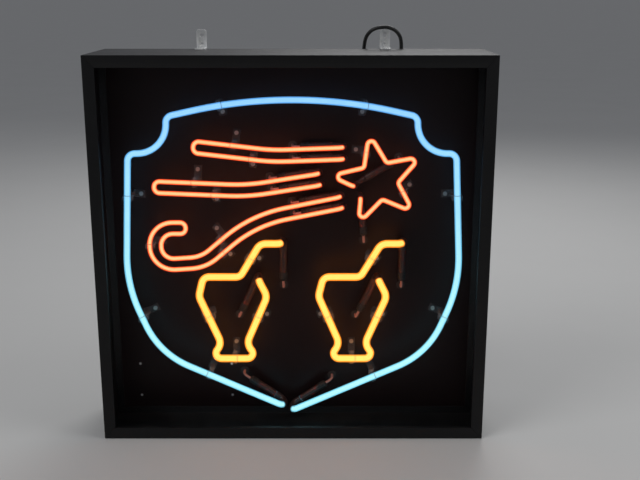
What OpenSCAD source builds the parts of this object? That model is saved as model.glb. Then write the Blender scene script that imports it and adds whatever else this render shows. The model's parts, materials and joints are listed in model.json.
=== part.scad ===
// Neon window sign: a square black metal box with a clear front, glass neon tubes on a black
// panel, a wiring space behind it, two hanging brackets and a mains cord.
// The front faces -Y, +X is to the right, +Z is up, and the origin is the middle of the base.

/* [Box] */
// Outside width of the box
box_w = 600; // [560:1:640]
// Outside height of the box
box_h = 600; // [580:1:640]
// Depth from the front rim to the back edge
box_d = 157; // [150:1:170]
// Thickness of the rails' metal
wall = 2.5; // [1.5:0.5:3]
// Width of the front rim
rim_w = 18; // [14:1:24]

/* [Front and tube panel] */
// Thickness of the clear front cover
pane_t = 3; // [2:0.5:4]
// Depth of the pane's front face behind the rim
pane_depth = 8; // [6:1:12]
// Depth of the tubes' centre line
tube_depth = 48; // [44:1:52]
// Depth of the black panel that carries the tubes
panel_depth = 92; // [90:1:96]
// Thickness of the black panel
panel_t = 3; // [2:0.5:4]
// Depth of the rear cover's inner face
cover_depth = 144.5; // [140:0.5:146]
// Thickness of the rear cover
cover_t = 2.5; // [1.5:0.5:3]

/* [Neon tubes] */
// Diameter of the blue crest's glass
crest_dia = 10; // [8:0.5:12]
// Diameter of the orange shooting star's glass
star_dia = 8; // [6:0.5:9]
// Diameter of the yellow soda glasses' glass
soda_dia = 12; // [10:0.5:13]
// Distance between the two lines of a streak
streak_w = 18; // [16:1:20]

/* [Hanging brackets] */
// Distance between the two hanging holes
hanger_gap = 290; // [200:1:400]
// Width of a bracket
hanger_w = 16; // [14:1:20]
// Height of a bracket's tab above the box
hanger_h = 30; // [28:1:34]
// Diameter of a hanging hole
hanger_hole = 5.8; // [4:0.1:6]

/* [Mains cord] */
// Diameter of the cord
cord_dia = 6; // [5:0.5:7]

/* [Hidden] */

$fn = 32;
front = -box_d / 2;              // y of the rim's front face
fit = 0.5;                       // side clearance of a sheet in the frame
past = 1;                        // how far a cut runs past the face it opens
tube_y = front + tube_depth;
panel_y = front + panel_depth;
panel_back = panel_y + panel_t;
cover_y = front + cover_depth;
cover_back = cover_y + cover_t;
middle = box_h / 2;

ledge_w = 14;                    // ledge that the tube panel is screwed to
flange_w = 16;                   // flange that the rear cover is screwed to
strip_d = 6;                     // glazing strip behind the pane
strip_w = 10;

// Glass ends: each tube turns back, runs along the panel, and carries an electrode and a boot
end_depth = 74;                  // depth of the electrodes' centre line
end_y = front + end_depth;
back_bend = 11;                  // radius of the turn towards the panel
stub = 18;                       // glass past that turn
electrode_l = 36;
electrode_r = 5.5;
boot_l = 14;
boot_r = 6.5;
lead_r = 2;
lead_run = 12;                   // from the boot's mouth to the hole in the panel
exit_run = stub + electrode_l + boot_l + lead_run;
bushing_r = 5;

// Crest outline, left half: [x, z, bend radius], from the base up to the middle of the arch
crest_half = [[-215, 125, 130], [-262, 240, 220], [-250, 450, 12], [-190, 450, 46],
              [-190, 506, 12]];
crest_peak = [0, 548, 700];
crest_left_end = [-16, 34];
crest_right_end = [-4, 26];

// Shooting star
star_at = [132, 408];
star_r = 74;
star_notch_r = 30;
star_tilt = 12;
point_bend = 6;
streak_upper = [[80, 450, 0], [-30, 446, 300], [-150, 460, 0]];
streak_middle = [[44, 410, 0], [-70, 392, 300], [-212, 398, 0]];
streak_lower = [[78, 374, 0], [-60, 346, 200], [-140, 278, 60], [-214, 273, 28],
                [-214, 333, 28], [-166, 333, 0]];

// Soda glass with a bent straw, about its own middle line
soda_line = [[79, 308, 0], [44, 308, 16], [12, 254, 12], [-46, 254, 12], [-54, 222, 20],
             [-20, 142, 20], [-38, 117, 9], [38, 117, 9], [20, 142, 20], [54, 222, 20],
             [40, 250, 0]];
soda_left_x = -95;
soda_right_x = 94;

// Ways that the electrodes point behind the tubes: [first end, last end], in degrees
crest_ways = [146, 34];
star_ways = [-85, 30];
upper_ways = [182, 182];
middle_ways = [189, 189];
lower_ways = [191.5, 191.5];
soda_ways = [-90, -115];

// Glass supports: [x, z, angle of the tube, tube radius, side of the foot]
crest_r = crest_dia / 2;
line_r = star_dia / 2;
soda_r = soda_dia / 2;
supports = [[-110, 522.4, 9, crest_r, -1], [110, 522.4, -9, crest_r, -1],
            [-254, 380, 86.7, crest_r, -1], [254, 380, 93.3, crest_r, 1],
            [-239, 183.5, 112.2, crest_r, -1], [239, 183.5, 67.8, crest_r, 1],
            [-135.4, 88.6, 155.4, crest_r, -1], [127.4, 85.4, 24.3, crest_r, 1],
            [112.3, 447.9, 82.5, line_r, 1], [171.3, 387.3, 118.5, line_r, -1],
            [-89, 461.9, 173.3, line_r, -1], [-61, 440.6, 173.3, line_r, 1],
            [-150, 404.4, 177.6, line_r, -1], [-120, 385.1, 177.6, line_r, 1],
            [-113.1, 312.7, 40.4, line_r, 1], [-110.6, 291.2, 40.4, line_r, -1],
            [-223, 303, 90, line_r, -1],
            [-133, 184.2, 113, soda_r, 1], [-57, 184.2, 67, soda_r, -1],
            [-95, 117, 0, soda_r, 1], [-67.3, 280.5, 59.3, soda_r, -1],
            [56, 184.2, 113, soda_r, 1], [132, 184.2, 67, soda_r, -1],
            [94, 117, 0, soda_r, 1], [121.7, 280.5, 59.3, soda_r, -1]];

// Rear equipment
transformer_at = [-180, 62];     // middle of the case, x and z
transformer_size = [140, 40, 84];
terminal_x = [-215, -145];       // high-voltage terminals on the case's top
terminal_h = 22;
block_at = [-70, 24];
block_size = [48, 16, 18];
switch_at = [60, 440];
switch_hole = [13, 19];
rocker_size = [9.4, 15.4];
gland_at = [113, 440];
gland_r = 8;
stud_at = [-20, 24];
fixing_x = [-255, -90, 90, 255];

// Cord route: out of the boot, up behind the box, over the right bracket and down to the floor
boot_len = 30;
cord_route = [[113, 72, 440], [113, 86, 440], [113, 99, 440], [113, 112, 440],
              [113, 122.7, 442.1], [113, 131.8, 448.2], [113, 137.9, 457.3], [113, 140, 468],
              [113, 139.2, 486], [113, 135, 508], [113, 126.5, 534], [113, 115, 560],
              [113, 101.5, 585], [113.5, 91.5, 604], [116, 84.5, 617.5], [122.5, 80.3, 626.8],
              [131.6, 78, 631.9], [143.5, 77, 633.6], [152, 77.3, 632.7], [162.2, 78.6, 627.9],
              [169.4, 81.2, 619], [172, 83.6, 607], [172, 85, 588], [172, 85, 500],
              [172, 85, 400], [172, 85, 300], [172, 85, 200], [172, 85, 110],
              [172, 85, 50], [172, 85, 31], [170.5, 86.5, 20.3], [166.1, 90.7, 11.2],
              [159.6, 97.1, 5.1], [150, 106.4, 3], [139.8, 120.4, 3], [137, 135, 3]];
coil_at = [100, 135];
coil_r = 34;                     // at the middle of the turns
coil_layers = 3;
coil_lines = 2;
cord_tail_route = [[100, 172, 15], [84, 171.5, 15], [68, 168, 12.5], [54, 162, 8],
                   [40, 156, 5], [26, 152.4, 4.5], [12.3, 152, 4.5]];
plug_at = [12, 152, 0];

function unit(v) = v / norm(v);
function heading(a) = [cos(a), 0, sin(a)];
chord_gap = 0.3;                 // how far a bend's short straight runs may leave its true arc
function finer(r) = 2 * acos(1 - chord_gap / r);

// Points of an arc of radius r that rounds the corner p between a and b
function rounded(a, p, b, r) =
    let (into = unit(p - a), out = unit(b - p), c = min(1, max(-1, into * out)), turn = acos(c))
    turn < 0.5 || r == 0 ? [p] :
    let (side = unit(out - c * into), cut = r * tan(turn / 2), n = max(2, ceil(turn / finer(r))))
    [for (i = [0 : n]) let (f = turn * i / n)
        p - cut * into + r * sin(f) * into + r * (1 - cos(f)) * side];

// Centre line through corners [point, radius]
function bent(corners) = let (last = len(corners) - 1)
    [corners[0][0],
     for (i = [1 : last - 1])
         each rounded(corners[i - 1][0], corners[i][0], corners[i + 1][0], corners[i][1]),
     corners[last][0]];

// Smooth curve through the points, n steps between each pair
function smooth(p, n) = let (last = len(p) - 1)
    [for (i = [0 : last - 1], k = [0 : n - 1])
        let (t = k / n, a = p[max(i - 1, 0)], b = p[i], c = p[i + 1], d = p[min(i + 2, last)])
        b + t * (c - a) / 2 + t * t * (a - 2.5 * b + 2 * c - d / 2)
          + t * t * t * (1.5 * b - a / 2 - 1.5 * c + d / 2),
     p[last]];

function tangents(p) = let (last = len(p) - 1)
    [for (i = [0 : last])
        i == 0 ? unit(p[1] - p[0]) :
        i == last ? unit(p[last] - p[last - 1]) :
        unit(unit(p[i] - p[i - 1]) + unit(p[i + 1] - p[i]))];
function carried(t, u, i = 0) = i == len(t) ? [] :
    let (w = unit(u - (u * t[i]) * t[i])) concat([w], carried(t, w, i + 1));

// Round rod along a centre line
module rod(path, r, sides = 8) {
    t = tangents(path);
    u = carried(t, abs(t[0].z) < 0.8 ? [0, 0, 1] : [1, 0, 0]);
    last = len(path) - 1;
    polyhedron(
        [for (i = [0 : last], k = [0 : sides - 1]) let (a = 360 * k / sides)
            path[i] + r * (cos(a) * u[i] + sin(a) * cross(t[i], u[i]))],
        [[for (k = [0 : sides - 1]) k],
         [for (k = [sides - 1 : -1 : 0]) last * sides + k],
         for (i = [0 : last - 1], k = [0 : sides - 1]) let (m = (k + 1) % sides)
            [i * sides + k, (i + 1) * sides + k, (i + 1) * sides + m, i * sides + m]]);
}

// Neon tube: lit corners [x, z, radius] at tube_depth, both ends turned back behind them
function at_depth(p, y) = [p[0], y, p[1]];
function tube_end(p, way) = [[at_depth(p, tube_y), back_bend], [at_depth(p, end_y), back_bend],
                             [at_depth(p, end_y) + stub * heading(way), 0]];
function reversed(list) = [for (i = [len(list) - 1 : -1 : 0]) list[i]];
function tube_line(lit, ways) = let (last = len(lit) - 1)
    bent(concat(reversed(tube_end(lit[0], ways[0])),
                [for (i = [1 : last - 1]) [at_depth(lit[i], tube_y), lit[i][2]]],
                tube_end(lit[last], ways[1])));

// Line beside a run of corners, at the distance d to its left
function turn_of(a, p, b) = let (u = unit(p - a), v = unit(b - p)) u[0] * v[1] - u[1] * v[0];
function left_of(v) = [-v[1], v[0]];
function flat(p) = [p[0], p[1]];
function beside(line, d) = let (last = len(line) - 1)
    [for (i = [0 : last])
        let (p = flat(line[i]), a = flat(line[max(i - 1, 0)]), b = flat(line[min(i + 1, last)]),
             into = left_of(unit(i == 0 ? b - p : p - a)),
             out = left_of(unit(i == last ? p - a : b - p)),
             shift = (into + out) / (1 + into * out), spot = p + d * shift,
             side = i == 0 || i == last ? 0 : turn_of(a, p, b) > 0 ? -d : d)
        [spot[0], spot[1], i == 0 || i == last ? streak_w / 2 - 0.5 : line[i][2] + side]];
function streak(line) = concat(beside(line, -streak_w / 2), reversed(beside(line, streak_w / 2)));

function mirrored(line) = [for (c = reversed(line)) [-c[0], c[1], c[2]]];
crest_lit = concat([crest_left_end], crest_half, [crest_peak], mirrored(crest_half),
                   [crest_right_end]);

function polar(r, a) = [star_at[0] + r * cos(a), star_at[1] + r * sin(a)];
star_corners = [for (i = [0 : 10])
    let (p = polar(i % 2 == 0 ? star_notch_r : star_r, 198 + star_tilt + 36 * i))
    [p[0], p[1], point_bend]];
gap_share = 0.2;                 // how far each end stops short of the star's open notch
star_lit = [for (i = [0 : 10])
    i == 0 ? star_corners[0] + gap_share * (star_corners[1] - star_corners[0]) :
    i == 10 ? star_corners[10] + gap_share * (star_corners[9] - star_corners[10]) :
    star_corners[i]];

function moved(line, x) = [for (c = line) [c[0] + x, c[1], c[2]]];
soda_left_lit = moved(soda_line, soda_left_x);
soda_right_lit = moved(soda_line, soda_right_x);
upper_lit = streak(streak_upper);
middle_lit = streak(streak_middle);
lower_lit = streak(streak_lower);

// Every glass end as [x, z, way], in the order in which the tubes are wired
function ends_of(lit, ways) = let (last = len(lit) - 1)
    [[lit[0][0], lit[0][1], ways[0]], [lit[last][0], lit[last][1], ways[1]]];
glass_ends = concat(ends_of(crest_lit, crest_ways), reversed(ends_of(soda_right_lit, soda_ways)),
                    ends_of(star_lit, star_ways), reversed(ends_of(upper_lit, upper_ways)),
                    reversed(ends_of(middle_lit, middle_ways)),
                    reversed(ends_of(lower_lit, lower_ways)),
                    ends_of(soda_left_lit, soda_ways));
function along_end(e, run) = at_depth(e, end_y) + run * heading(e[2]);
function hole_of(e) = let (p = along_end(e, exit_run)) [p.x, p.z];

module sheet(size, y, thickness)
    translate([-size[0] / 2, y, middle - size[1] / 2]) cube([size[0], thickness, size[1]]);

module across(p, y, r, length) translate([p[0], y, p[1]]) rotate([-90, 0, 0]) cylinder(r = r, h = length);

// Pan-head screw with a cross recess; its head faces -Y
// Sizes are [shank radius, head radius, head height]
m4 = [2, 3.8, 2.3];
small = [1.8, 3.5, 2.2];
fine = [1.6, 3.2, 2];
recess = [1.2, 0.6, 0.24];       // length and width of a slot by the head radius, depth by its height
module screw(size, length) {
    slot = [recess.x * size[1], recess.y * size[2], recess.z * size[1]];
    rotate([-90, 0, 0]) cylinder(r = size[0], h = length);
    difference() {
        rotate([90, 0, 0]) cylinder(r = size[1], h = size[2]);
        for (a = [0, 90]) rotate([0, a, 0])
            translate([-slot.x / 2, -size[2] - 0.1, -slot.z / 2]) cube(slot);
    }
}

// Rail: a folded section run along X under the box's middle, cut to 45 degree ends
module rail(length, reach) {
    translate([0, 0, -reach]) intersection() {
        translate([-length / 2, 0, 0]) rotate([90, 0, 90]) linear_extrude(length) polygon([
            [front, 0], [front, rim_w], [front + pane_depth, rim_w],
            [front + pane_depth, rim_w - wall], [front + wall, rim_w - wall],
            [front + wall, wall], [panel_y - wall, wall], [panel_y - wall, ledge_w],
            [panel_y, ledge_w], [panel_y, wall], [cover_y - wall, wall],
            [cover_y - wall, flange_w], [cover_y, flange_w], [cover_y, wall],
            [-front, wall], [-front, 0]]);
        rotate([90, 0, 0]) translate([0, 0, front]) linear_extrude(box_d) polygon([
            [-length / 2, 0], [length / 2, 0], [length / 2 - rim_w, rim_w],
            [-length / 2 + rim_w, rim_w]]);
    }
}

module around(angle) translate([0, 0, middle]) rotate([0, angle, 0]) children();

module frame_top() color("#1b1b1c") around(180) rail(box_w, box_h / 2);
module frame_bottom() color("#1b1b1c") around(0) rail(box_w, box_h / 2);
module frame_left() color("#1b1b1c") around(90) rail(box_h, box_w / 2);
module frame_right() color("#1b1b1c") around(-90) rail(box_h, box_w / 2);

// Angles that join the rails, in the wiring space
angle_leg = 30;
angle_t = 2;
angle_w = 22;
angle_y = panel_back + 12;
angle_hole_r = 2;
angle_screw = 20;                // from the corner to a screw
module at_corners() for (sx = [-1, 1], sz = [-1, 1])
    translate([sx * (box_w / 2 - wall), angle_y, middle + sz * (box_h / 2 - wall)])
        mirror([sx > 0 ? 1 : 0, 0, 0]) mirror([0, 0, sz > 0 ? 1 : 0]) children();
module corner_angles() color("#c9ccd0") at_corners() difference() {
    cube([angle_leg, angle_w, angle_leg]);
    translate([angle_t, -past, angle_t]) cube([angle_leg, angle_w + 2 * past, angle_leg]);
    translate([angle_screw, angle_w / 2, -past]) cylinder(r = angle_hole_r, h = angle_t + 2 * past);
    translate([-past, angle_w / 2, angle_screw]) rotate([0, 90, 0])
        cylinder(r = angle_hole_r, h = angle_t + 2 * past);
}
module angle_screw_in() screw(small, angle_t + wall - 1);
module corner_screws() color("#b4b6ba") at_corners() {
    translate([angle_screw, angle_w / 2, angle_t]) rotate([-90, 0, 0]) angle_screw_in();
    translate([angle_t, angle_w / 2, angle_screw]) rotate([0, 0, 90]) angle_screw_in();
}

module front_cover() color("#c8d4dc55")
    sheet([box_w - 2 * wall - 2 * fit, box_h - 2 * wall - 2 * fit], front + pane_depth, pane_t);

module glazing_strips() color("#202022") {
    strip_y = front + pane_depth + pane_t;
    for (sz = [-1, 1]) translate([-box_w / 2 + wall, strip_y,
                                  sz < 0 ? wall : box_h - wall - strip_w])
        cube([box_w - 2 * wall, strip_d, strip_w]);
    for (sx = [-1, 1]) translate([sx < 0 ? -box_w / 2 + wall : box_w / 2 - wall - strip_w, strip_y,
                                  wall + strip_w])
        cube([strip_w, strip_d, box_h - 2 * wall - 2 * strip_w]);
}

module tube_panel() color("#0f0f10") difference() {
    sheet([box_w - 2 * wall - 2 * fit, box_h - 2 * wall - 2 * fit], panel_y, panel_t);
    for (e = glass_ends) across(hole_of(e), panel_y - past, bushing_r, panel_t + 2 * past);
    for (p = panel_fixings) across(p, panel_y - past, panel_hole_r, panel_t + 2 * past);
    for (p = transformer_holes) across(p, panel_y - past, case_hole_r, panel_t + 2 * past);
}
panel_hole_r = 2;
case_hole_r = 2.2;
panel_edge = wall + 6;           // from the box's outside to a panel screw
panel_fixings = concat([for (x = fixing_x, z = [panel_edge, box_h - panel_edge]) [x, z]],
                       [for (x = [panel_edge - box_w / 2, box_w / 2 - panel_edge],
                             z = [150, 300, 450]) [x, z]]);
module panel_screws() color("#8d9094") for (p = panel_fixings)
    translate([p[0], panel_back, p[1]]) mirror([0, 1, 0]) screw(small, panel_t + 2);

module crest_tube() color("#8fe6ff") rod(tube_line(crest_lit, crest_ways), crest_r);
module star_tube() color("#ff6a2a") rod(tube_line(star_lit, star_ways), line_r);
module streak_upper_tube() color("#ff6a2a") rod(tube_line(upper_lit, upper_ways), line_r);
module streak_middle_tube() color("#ff6a2a") rod(tube_line(middle_lit, middle_ways), line_r);
module streak_lower_tube() color("#ff6a2a") rod(tube_line(lower_lit, lower_ways), line_r);
module soda_left_tube() color("#ffdf5a") rod(tube_line(soda_left_lit, soda_ways), soda_r);
module soda_right_tube() color("#ffdf5a") rod(tube_line(soda_right_lit, soda_ways), soda_r);

module on_end(e, run) translate(along_end(e, run)) rotate([0, 90 - e[2], 0]) children();
module electrodes() color("#5a1512") for (e = glass_ends)
    on_end(e, stub) cylinder(r = electrode_r, h = electrode_l);
module electrode_boots() color("#1a1a1a") for (e = glass_ends)
    on_end(e, stub + electrode_l) cylinder(r = boot_r, h = boot_l);
lead_bend = 7;
lead_out = 4;                    // how far a lead and its bushing stand out behind the panel
lead_sides = 6;
module electrode_leads() color("#c98f8a") for (e = glass_ends)
    rod(bent([[along_end(e, exit_run - lead_run), 0], [along_end(e, exit_run), lead_bend],
              [[along_end(e, exit_run).x, panel_back + lead_out, along_end(e, exit_run).z], 0]]),
        lead_r, lead_sides);
bushing_lip = 2;
bushing_l = bushing_lip + panel_t + 2;
module lead_bushings() color("#1a1a1a") for (e = glass_ends) difference() {
    union() {
        across(hole_of(e), panel_y - bushing_lip, bushing_r - 0.1, bushing_l);
        across(hole_of(e), panel_y - bushing_lip, bushing_r + bushing_lip, bushing_lip);
    }
    across(hole_of(e), panel_y - bushing_lip - past, lead_r + 0.3, bushing_l + 2 * past);
}

// Clear glass support: a foot on the panel, a post and two ears that hold the tube
foot_w = 12;
foot_l = 26;
foot_t = 2.5;
post_w = 7;
ear_w = 3;
cradle_gap = 0.4;                // round the glass
foot_hole_r = 1.8;
module on_support(s) translate([s[0], panel_y, s[1]]) rotate([0, -s[2], 0])
    mirror([0, 0, s[4] < 0 ? 1 : 0]) children();
module tube_supports() color("#d8dde066") for (s = supports) on_support(s) difference() {
    half = s[3] + ear_w;
    cradle_r = s[3] + cradle_gap;
    top = panel_depth - tube_depth + 1;
    union() {
        translate([-foot_w / 2, -foot_t, -foot_w / 2]) cube([foot_w, foot_t, foot_l]);
        translate([-post_w / 2, -top + half, -post_w / 2]) cube([post_w, top - half, post_w]);
        translate([-post_w / 2, -top, -half]) cube([post_w, half + ear_w + 1, 2 * half]);
    }
    translate([-post_w, tube_depth - panel_depth, 0]) rotate([0, 90, 0])
        cylinder(r = cradle_r, h = 2 * post_w);
    translate([-post_w, -top - past, -cradle_r]) cube([2 * post_w, 2 * past, 2 * cradle_r]);
    translate([0, -foot_t - past, foot_l - foot_w]) rotate([-90, 0, 0])
        cylinder(r = foot_hole_r, h = foot_t + 2 * past);
}
module support_screws() color("#b9bcc0") for (s = supports) on_support(s)
    translate([0, -foot_t, foot_l - foot_w]) screw(fine, foot_t + panel_t - 0.5);

// Step-up transformer on the back of the panel
flange_run = 12;
flange_t = 2;
groove_h = 4;
groove_pitch = 10;
groove_inset = 8;                // from the case's sides
groove_depth = 2;
transformer_holes = [for (sx = [-1, 1], sz = [-1, 1])
    [transformer_at[0] + sx * (transformer_size[0] + flange_run) / 2,
     transformer_at[1] + sz * transformer_size[2] / 3]];
module transformer() color("#3a3d42") translate([transformer_at[0], panel_back, transformer_at[1]])
    difference() {
        union() {
            translate([-transformer_size[0] / 2, 0, -transformer_size[2] / 2])
                cube(transformer_size);
            translate([-transformer_size[0] / 2 - flange_run, 0, -transformer_size[2] / 2])
                cube([transformer_size[0] + 2 * flange_run, flange_t, transformer_size[2]]);
        }
        for (p = transformer_holes)
            translate([p[0] - transformer_at[0], -past, p[1] - transformer_at[1]])
                rotate([-90, 0, 0]) cylinder(r = case_hole_r, h = flange_t + 2 * past);
        for (k = [-3 : 3])
            translate([-transformer_size[0] / 2 + groove_inset, transformer_size[1] - groove_depth,
                       k * groove_pitch - groove_h / 2])
                cube([transformer_size[0] - 2 * groove_inset, groove_depth + past, groove_h]);
    }
module transformer_screws() color("#b4b6ba") for (p = transformer_holes)
    translate([p[0], panel_back + flange_t, p[1]]) mirror([0, 1, 0]) screw(m4, flange_t + panel_t);

transformer_top = transformer_at[1] + transformer_size[2] / 2;
terminal_y = panel_back + transformer_size[1] / 2;
post_r = 7;
tip_h = 6;
shed_pitch = 5;
module hv_terminals() color("#e9e4d6") for (x = terminal_x) translate([x, terminal_y, transformer_top]) {
    cylinder(r = post_r, h = terminal_h - tip_h);
    for (k = [0 : 2]) translate([0, 0, 3 + k * shed_pitch]) cylinder(r = post_r + 2, h = 2);
    translate([0, 0, terminal_h - tip_h]) cylinder(r = 3, h = tip_h);
}
lead_top = transformer_top + terminal_h;
first_hole = hole_of(glass_ends[0]);
last_hole = hole_of(glass_ends[len(glass_ends) - 1]);
hv_bend = 8;
module hv_lead(x, hole, rise) rod(bent([
    [[x, terminal_y, lead_top], 0], [[x, terminal_y, lead_top + rise], hv_bend],
    [[hole[0], terminal_y, hole[1]], hv_bend], [[hole[0], panel_back + lead_out, hole[1]], 0]]),
    lead_r, lead_sides);
module hv_leads() color("#8c3a35") {
    hv_lead(terminal_x[1], first_hole, 26);
    hv_lead(terminal_x[0], last_hole, 34);
}

// Leads that join one tube's end to the next, each at its own depth
series_depth = 8;                // behind the panel, for the first lead
series_step = 4.2;
series_bend = 5;
module series_leads() color("#8c3a35") for (k = [1 : 2 : len(glass_ends) - 3]) {
    a = hole_of(glass_ends[k]);
    b = hole_of(glass_ends[k + 1]);
    y = panel_back + series_depth + series_step * (k - 1) / 2;
    rod(bent([[[a[0], panel_back + lead_out, a[1]], 0], [[a[0], y, a[1]], series_bend],
              [[b[0], y, b[1]], series_bend], [[b[0], panel_back + lead_out, b[1]], 0]]),
        lead_r, lead_sides);
}

pole_pitch = 14;
pole_z = 4.5;                    // from the block's middle to a row of clamps
pole_r = 2.6;
pole_deep = 5;
module terminal_block() color("#e6e2d6") translate([block_at[0], panel_back, block_at[1]]) difference() {
    translate([-block_size[0] / 2, 0, -block_size[2] / 2]) cube(block_size);
    for (k = [-1 : 1], s = [-1, 1])
        translate([k * pole_pitch, block_size[1] - pole_deep, s * pole_z])
            rotate([-90, 0, 0]) cylinder(r = pole_r, h = pole_deep + past);
}
// Insulated wires from the gland and the switch to the block, and from the block to the case
wire_r = 1.2;
wire_y = cover_y - 10.5;
block_top = block_at[1] + block_size[2] / 2;
block_y = panel_back + block_size[1] / 2;
module wire_down(x, start, z, low) rod(bent(concat(start, [
    [[x, wire_y, z], 4], [[x, wire_y, low], 8], [[block_at[0] + x / 4, wire_y, low], 6],
    [[block_at[0] + x / 4, block_y, low], 4], [[block_at[0] + x / 4, block_y, block_top], 0]])),
    wire_r, lead_sides);
module mains_leads() color("#6b4a2e") {
    side = switch_hole[0] / 2;
    inner = cover_y - 8;
    rod(bent([[[gland_at[0] - 4, inner, gland_at[1] + 2], 0],
              [[gland_at[0] - 4, wire_y, gland_at[1] + 2], 2],
              [[switch_at[0] + side, wire_y, gland_at[1] + 2], 0]]), wire_r, lead_sides);
    wire_down(switch_at[0] - side - 10, [[[switch_at[0] - side, wire_y, switch_at[1]], 0]],
              switch_at[1], block_top + 12);
    wire_down(gland_at[0], [[[gland_at[0], inner, gland_at[1] - 4], 0]], gland_at[1] - 4,
              block_top + 6);
    for (s = [-1, 1]) rod([[block_at[0] - block_size[0] / 2, block_y, block_at[1] + s * pole_z],
                           [transformer_at[0] + transformer_size[0] / 2, block_y,
                            block_at[1] + s * pole_z]], wire_r, lead_sides);
}
stud_r = 2.5;
stud_l = 16;
module earth_stud() color("#c9ccd0") translate([stud_at[0], panel_back, stud_at[1]]) rotate([-90, 0, 0]) {
    cylinder(r = stud_r, h = stud_l);
    cylinder(r = 4.6, h = 4, $fn = 6);
}
earth_y = panel_back + 10;
module earth_lead() color("#7d9a3a") rod(bent([
    [[stud_at[0] - stud_r - 0.1, earth_y, stud_at[1]], 0],
    [[stud_at[0] - 14, earth_y, stud_at[1]], 4],
    [[stud_at[0] - 18, earth_y, stud_at[1] + pole_z], 3],
    [[block_at[0] + block_size[0] / 2, earth_y, block_at[1] + pole_z], 0]]), wire_r + 0.2, lead_sides);

// Rear cover with vent slots, the switch hole and the cord's hole
cover_edge = wall + 8;           // from the box's outside to a cover screw
cover_hole_r = 2.1;
cover_fixings = concat([for (x = fixing_x, z = [cover_edge, box_h - cover_edge]) [x, z]],
                       [for (x = [cover_edge - box_w / 2, box_w / 2 - cover_edge],
                             z = [210, 390]) [x, z]]);
vent_l = 70;
vent_h = 5;
vent_pitch = 13;
vent_rows = 6;
vent_z = 210;                    // middle of the lowest row
vent_x = [-170, -60, 50];
module rear_cover() color("#232427") difference() {
    sheet([box_w - 2 * wall - 2 * fit, box_h - 2 * wall - 2 * fit], cover_y, cover_t);
    cut_t = cover_t + 2 * past;
    for (p = cover_fixings) across(p, cover_y - past, cover_hole_r, cut_t);
    for (x = vent_x, k = [0 : vent_rows - 1])
        translate([x, cover_y - past, vent_z + k * vent_pitch]) {
            translate([-vent_l / 2, 0, -vent_h / 2]) cube([vent_l, cut_t, vent_h]);
            for (s = [-1, 1]) translate([s * vent_l / 2, 0, 0]) rotate([-90, 0, 0])
                cylinder(r = vent_h / 2, h = cut_t);
        }
    translate([switch_at[0] - switch_hole[0] / 2, cover_y - past, switch_at[1] - switch_hole[1] / 2])
        cube([switch_hole[0], cut_t, switch_hole[1]]);
    across(gland_at, cover_y - past, gland_r, cut_t);
}
module rear_screws() color("#8d9094") for (p = cover_fixings)
    translate([p[0], cover_back, p[1]]) mirror([0, 1, 0]) screw(m4, cover_t + wall + 0.5);

// Rocker switch: a housing snapped into the cover, and a rocker on a cross pin
rocker_pivot_y = cover_back - 1;
rocker_swing = 10;
bezel = [17, 1.6, 23];
housing = [switch_hole[0] - 0.4, 12, switch_hole[1] - 0.4];
well = [rocker_size[0] + 1, 20, rocker_size[1] + 1.2];
well_deep = 8;                   // from the cover's inner face to the well's floor
pin_r = 1;
pin_end = 0.8;                   // from the cover's opening to the end of the pin's bore
module switch_body() color("#161617") translate([switch_at[0], 0, switch_at[1]]) difference() {
    union() {
        translate([-housing.x / 2, cover_y - housing.y, -housing.z / 2])
            cube([housing.x, housing.y + cover_t, housing.z]);
        translate([-bezel.x / 2, cover_back, -bezel.z / 2]) cube(bezel);
    }
    translate([-well.x / 2, cover_y - well_deep, -well.z / 2]) cube(well);
    translate([-switch_hole[0] / 2 + pin_end, rocker_pivot_y, 0]) rotate([0, 90, 0])
        cylinder(r = pin_r + 0.05, h = switch_hole[0] - 2 * pin_end);
}
rocker_half = rocker_size[1] / 2;
rocker_side = [[-3, -4], [2.4, 0.5 - rocker_half], [4.9, 0.9 - rocker_half], [3, 0],
               [4.9, rocker_half - 0.9], [2.4, rocker_half - 0.5], [-3, 4]];
pin_l = switch_hole[0] - 2 * pin_end - 0.4;
module switch_rocker() color("#26262a") translate([switch_at[0], rocker_pivot_y, switch_at[1]])
    rotate([rocker_swing, 0, 0]) {
        translate([-rocker_size[0] / 2, 0, 0]) rotate([90, 0, 90])
            linear_extrude(rocker_size[0]) polygon(rocker_side);
        translate([-pin_l / 2, 0, 0]) rotate([0, 90, 0]) cylinder(r = pin_r, h = pin_l);
    }

// Gland through the cover, its nut, and the cord's strain relief
gland_back = -front;             // flush with the back edge of the box
gland_in = 8;                    // thread inside the cover
hex_t = 4;
nut_t = 5;
cord_bore = cord_dia / 2 + 0.3;
module cable_gland() color("#1c1c1e") difference() {
    union() {
        across(gland_at, cover_y - gland_in, gland_r - 0.2, gland_in + cover_t);
        translate([gland_at[0], cover_back, gland_at[1]]) rotate([-90, 0, 0])
            cylinder(r = gland_r + 4, h = hex_t, $fn = 6);
        across(gland_at, cover_back + hex_t, gland_r + 1.5, gland_back - cover_back - hex_t);
    }
    across(gland_at, cover_y - gland_in - past, cord_bore, gland_back - cover_y + gland_in + 2 * past);
}
module gland_nut() color("#1c1c1e") difference() {
    translate([gland_at[0], cover_y - nut_t, gland_at[1]]) rotate([-90, 0, 0])
        cylinder(r = gland_r + 4, h = nut_t, $fn = 6);
    across(gland_at, cover_y - nut_t - past, gland_r, nut_t + 2 * past);
}
boot_root = [7, 4];              // radius and length of the straight part at the gland
module cord_boot() color("#141415") difference() {
    translate([gland_at[0], gland_back, gland_at[1]]) rotate([-90, 0, 0])
        rotate_extrude() polygon([[0, 0], [boot_root[0], 0], boot_root,
                                  [cord_dia / 2 + 1.2, boot_len], [0, boot_len]]);
    across(gland_at, gland_back - past, cord_bore, boot_len + 2 * past);
}

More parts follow.
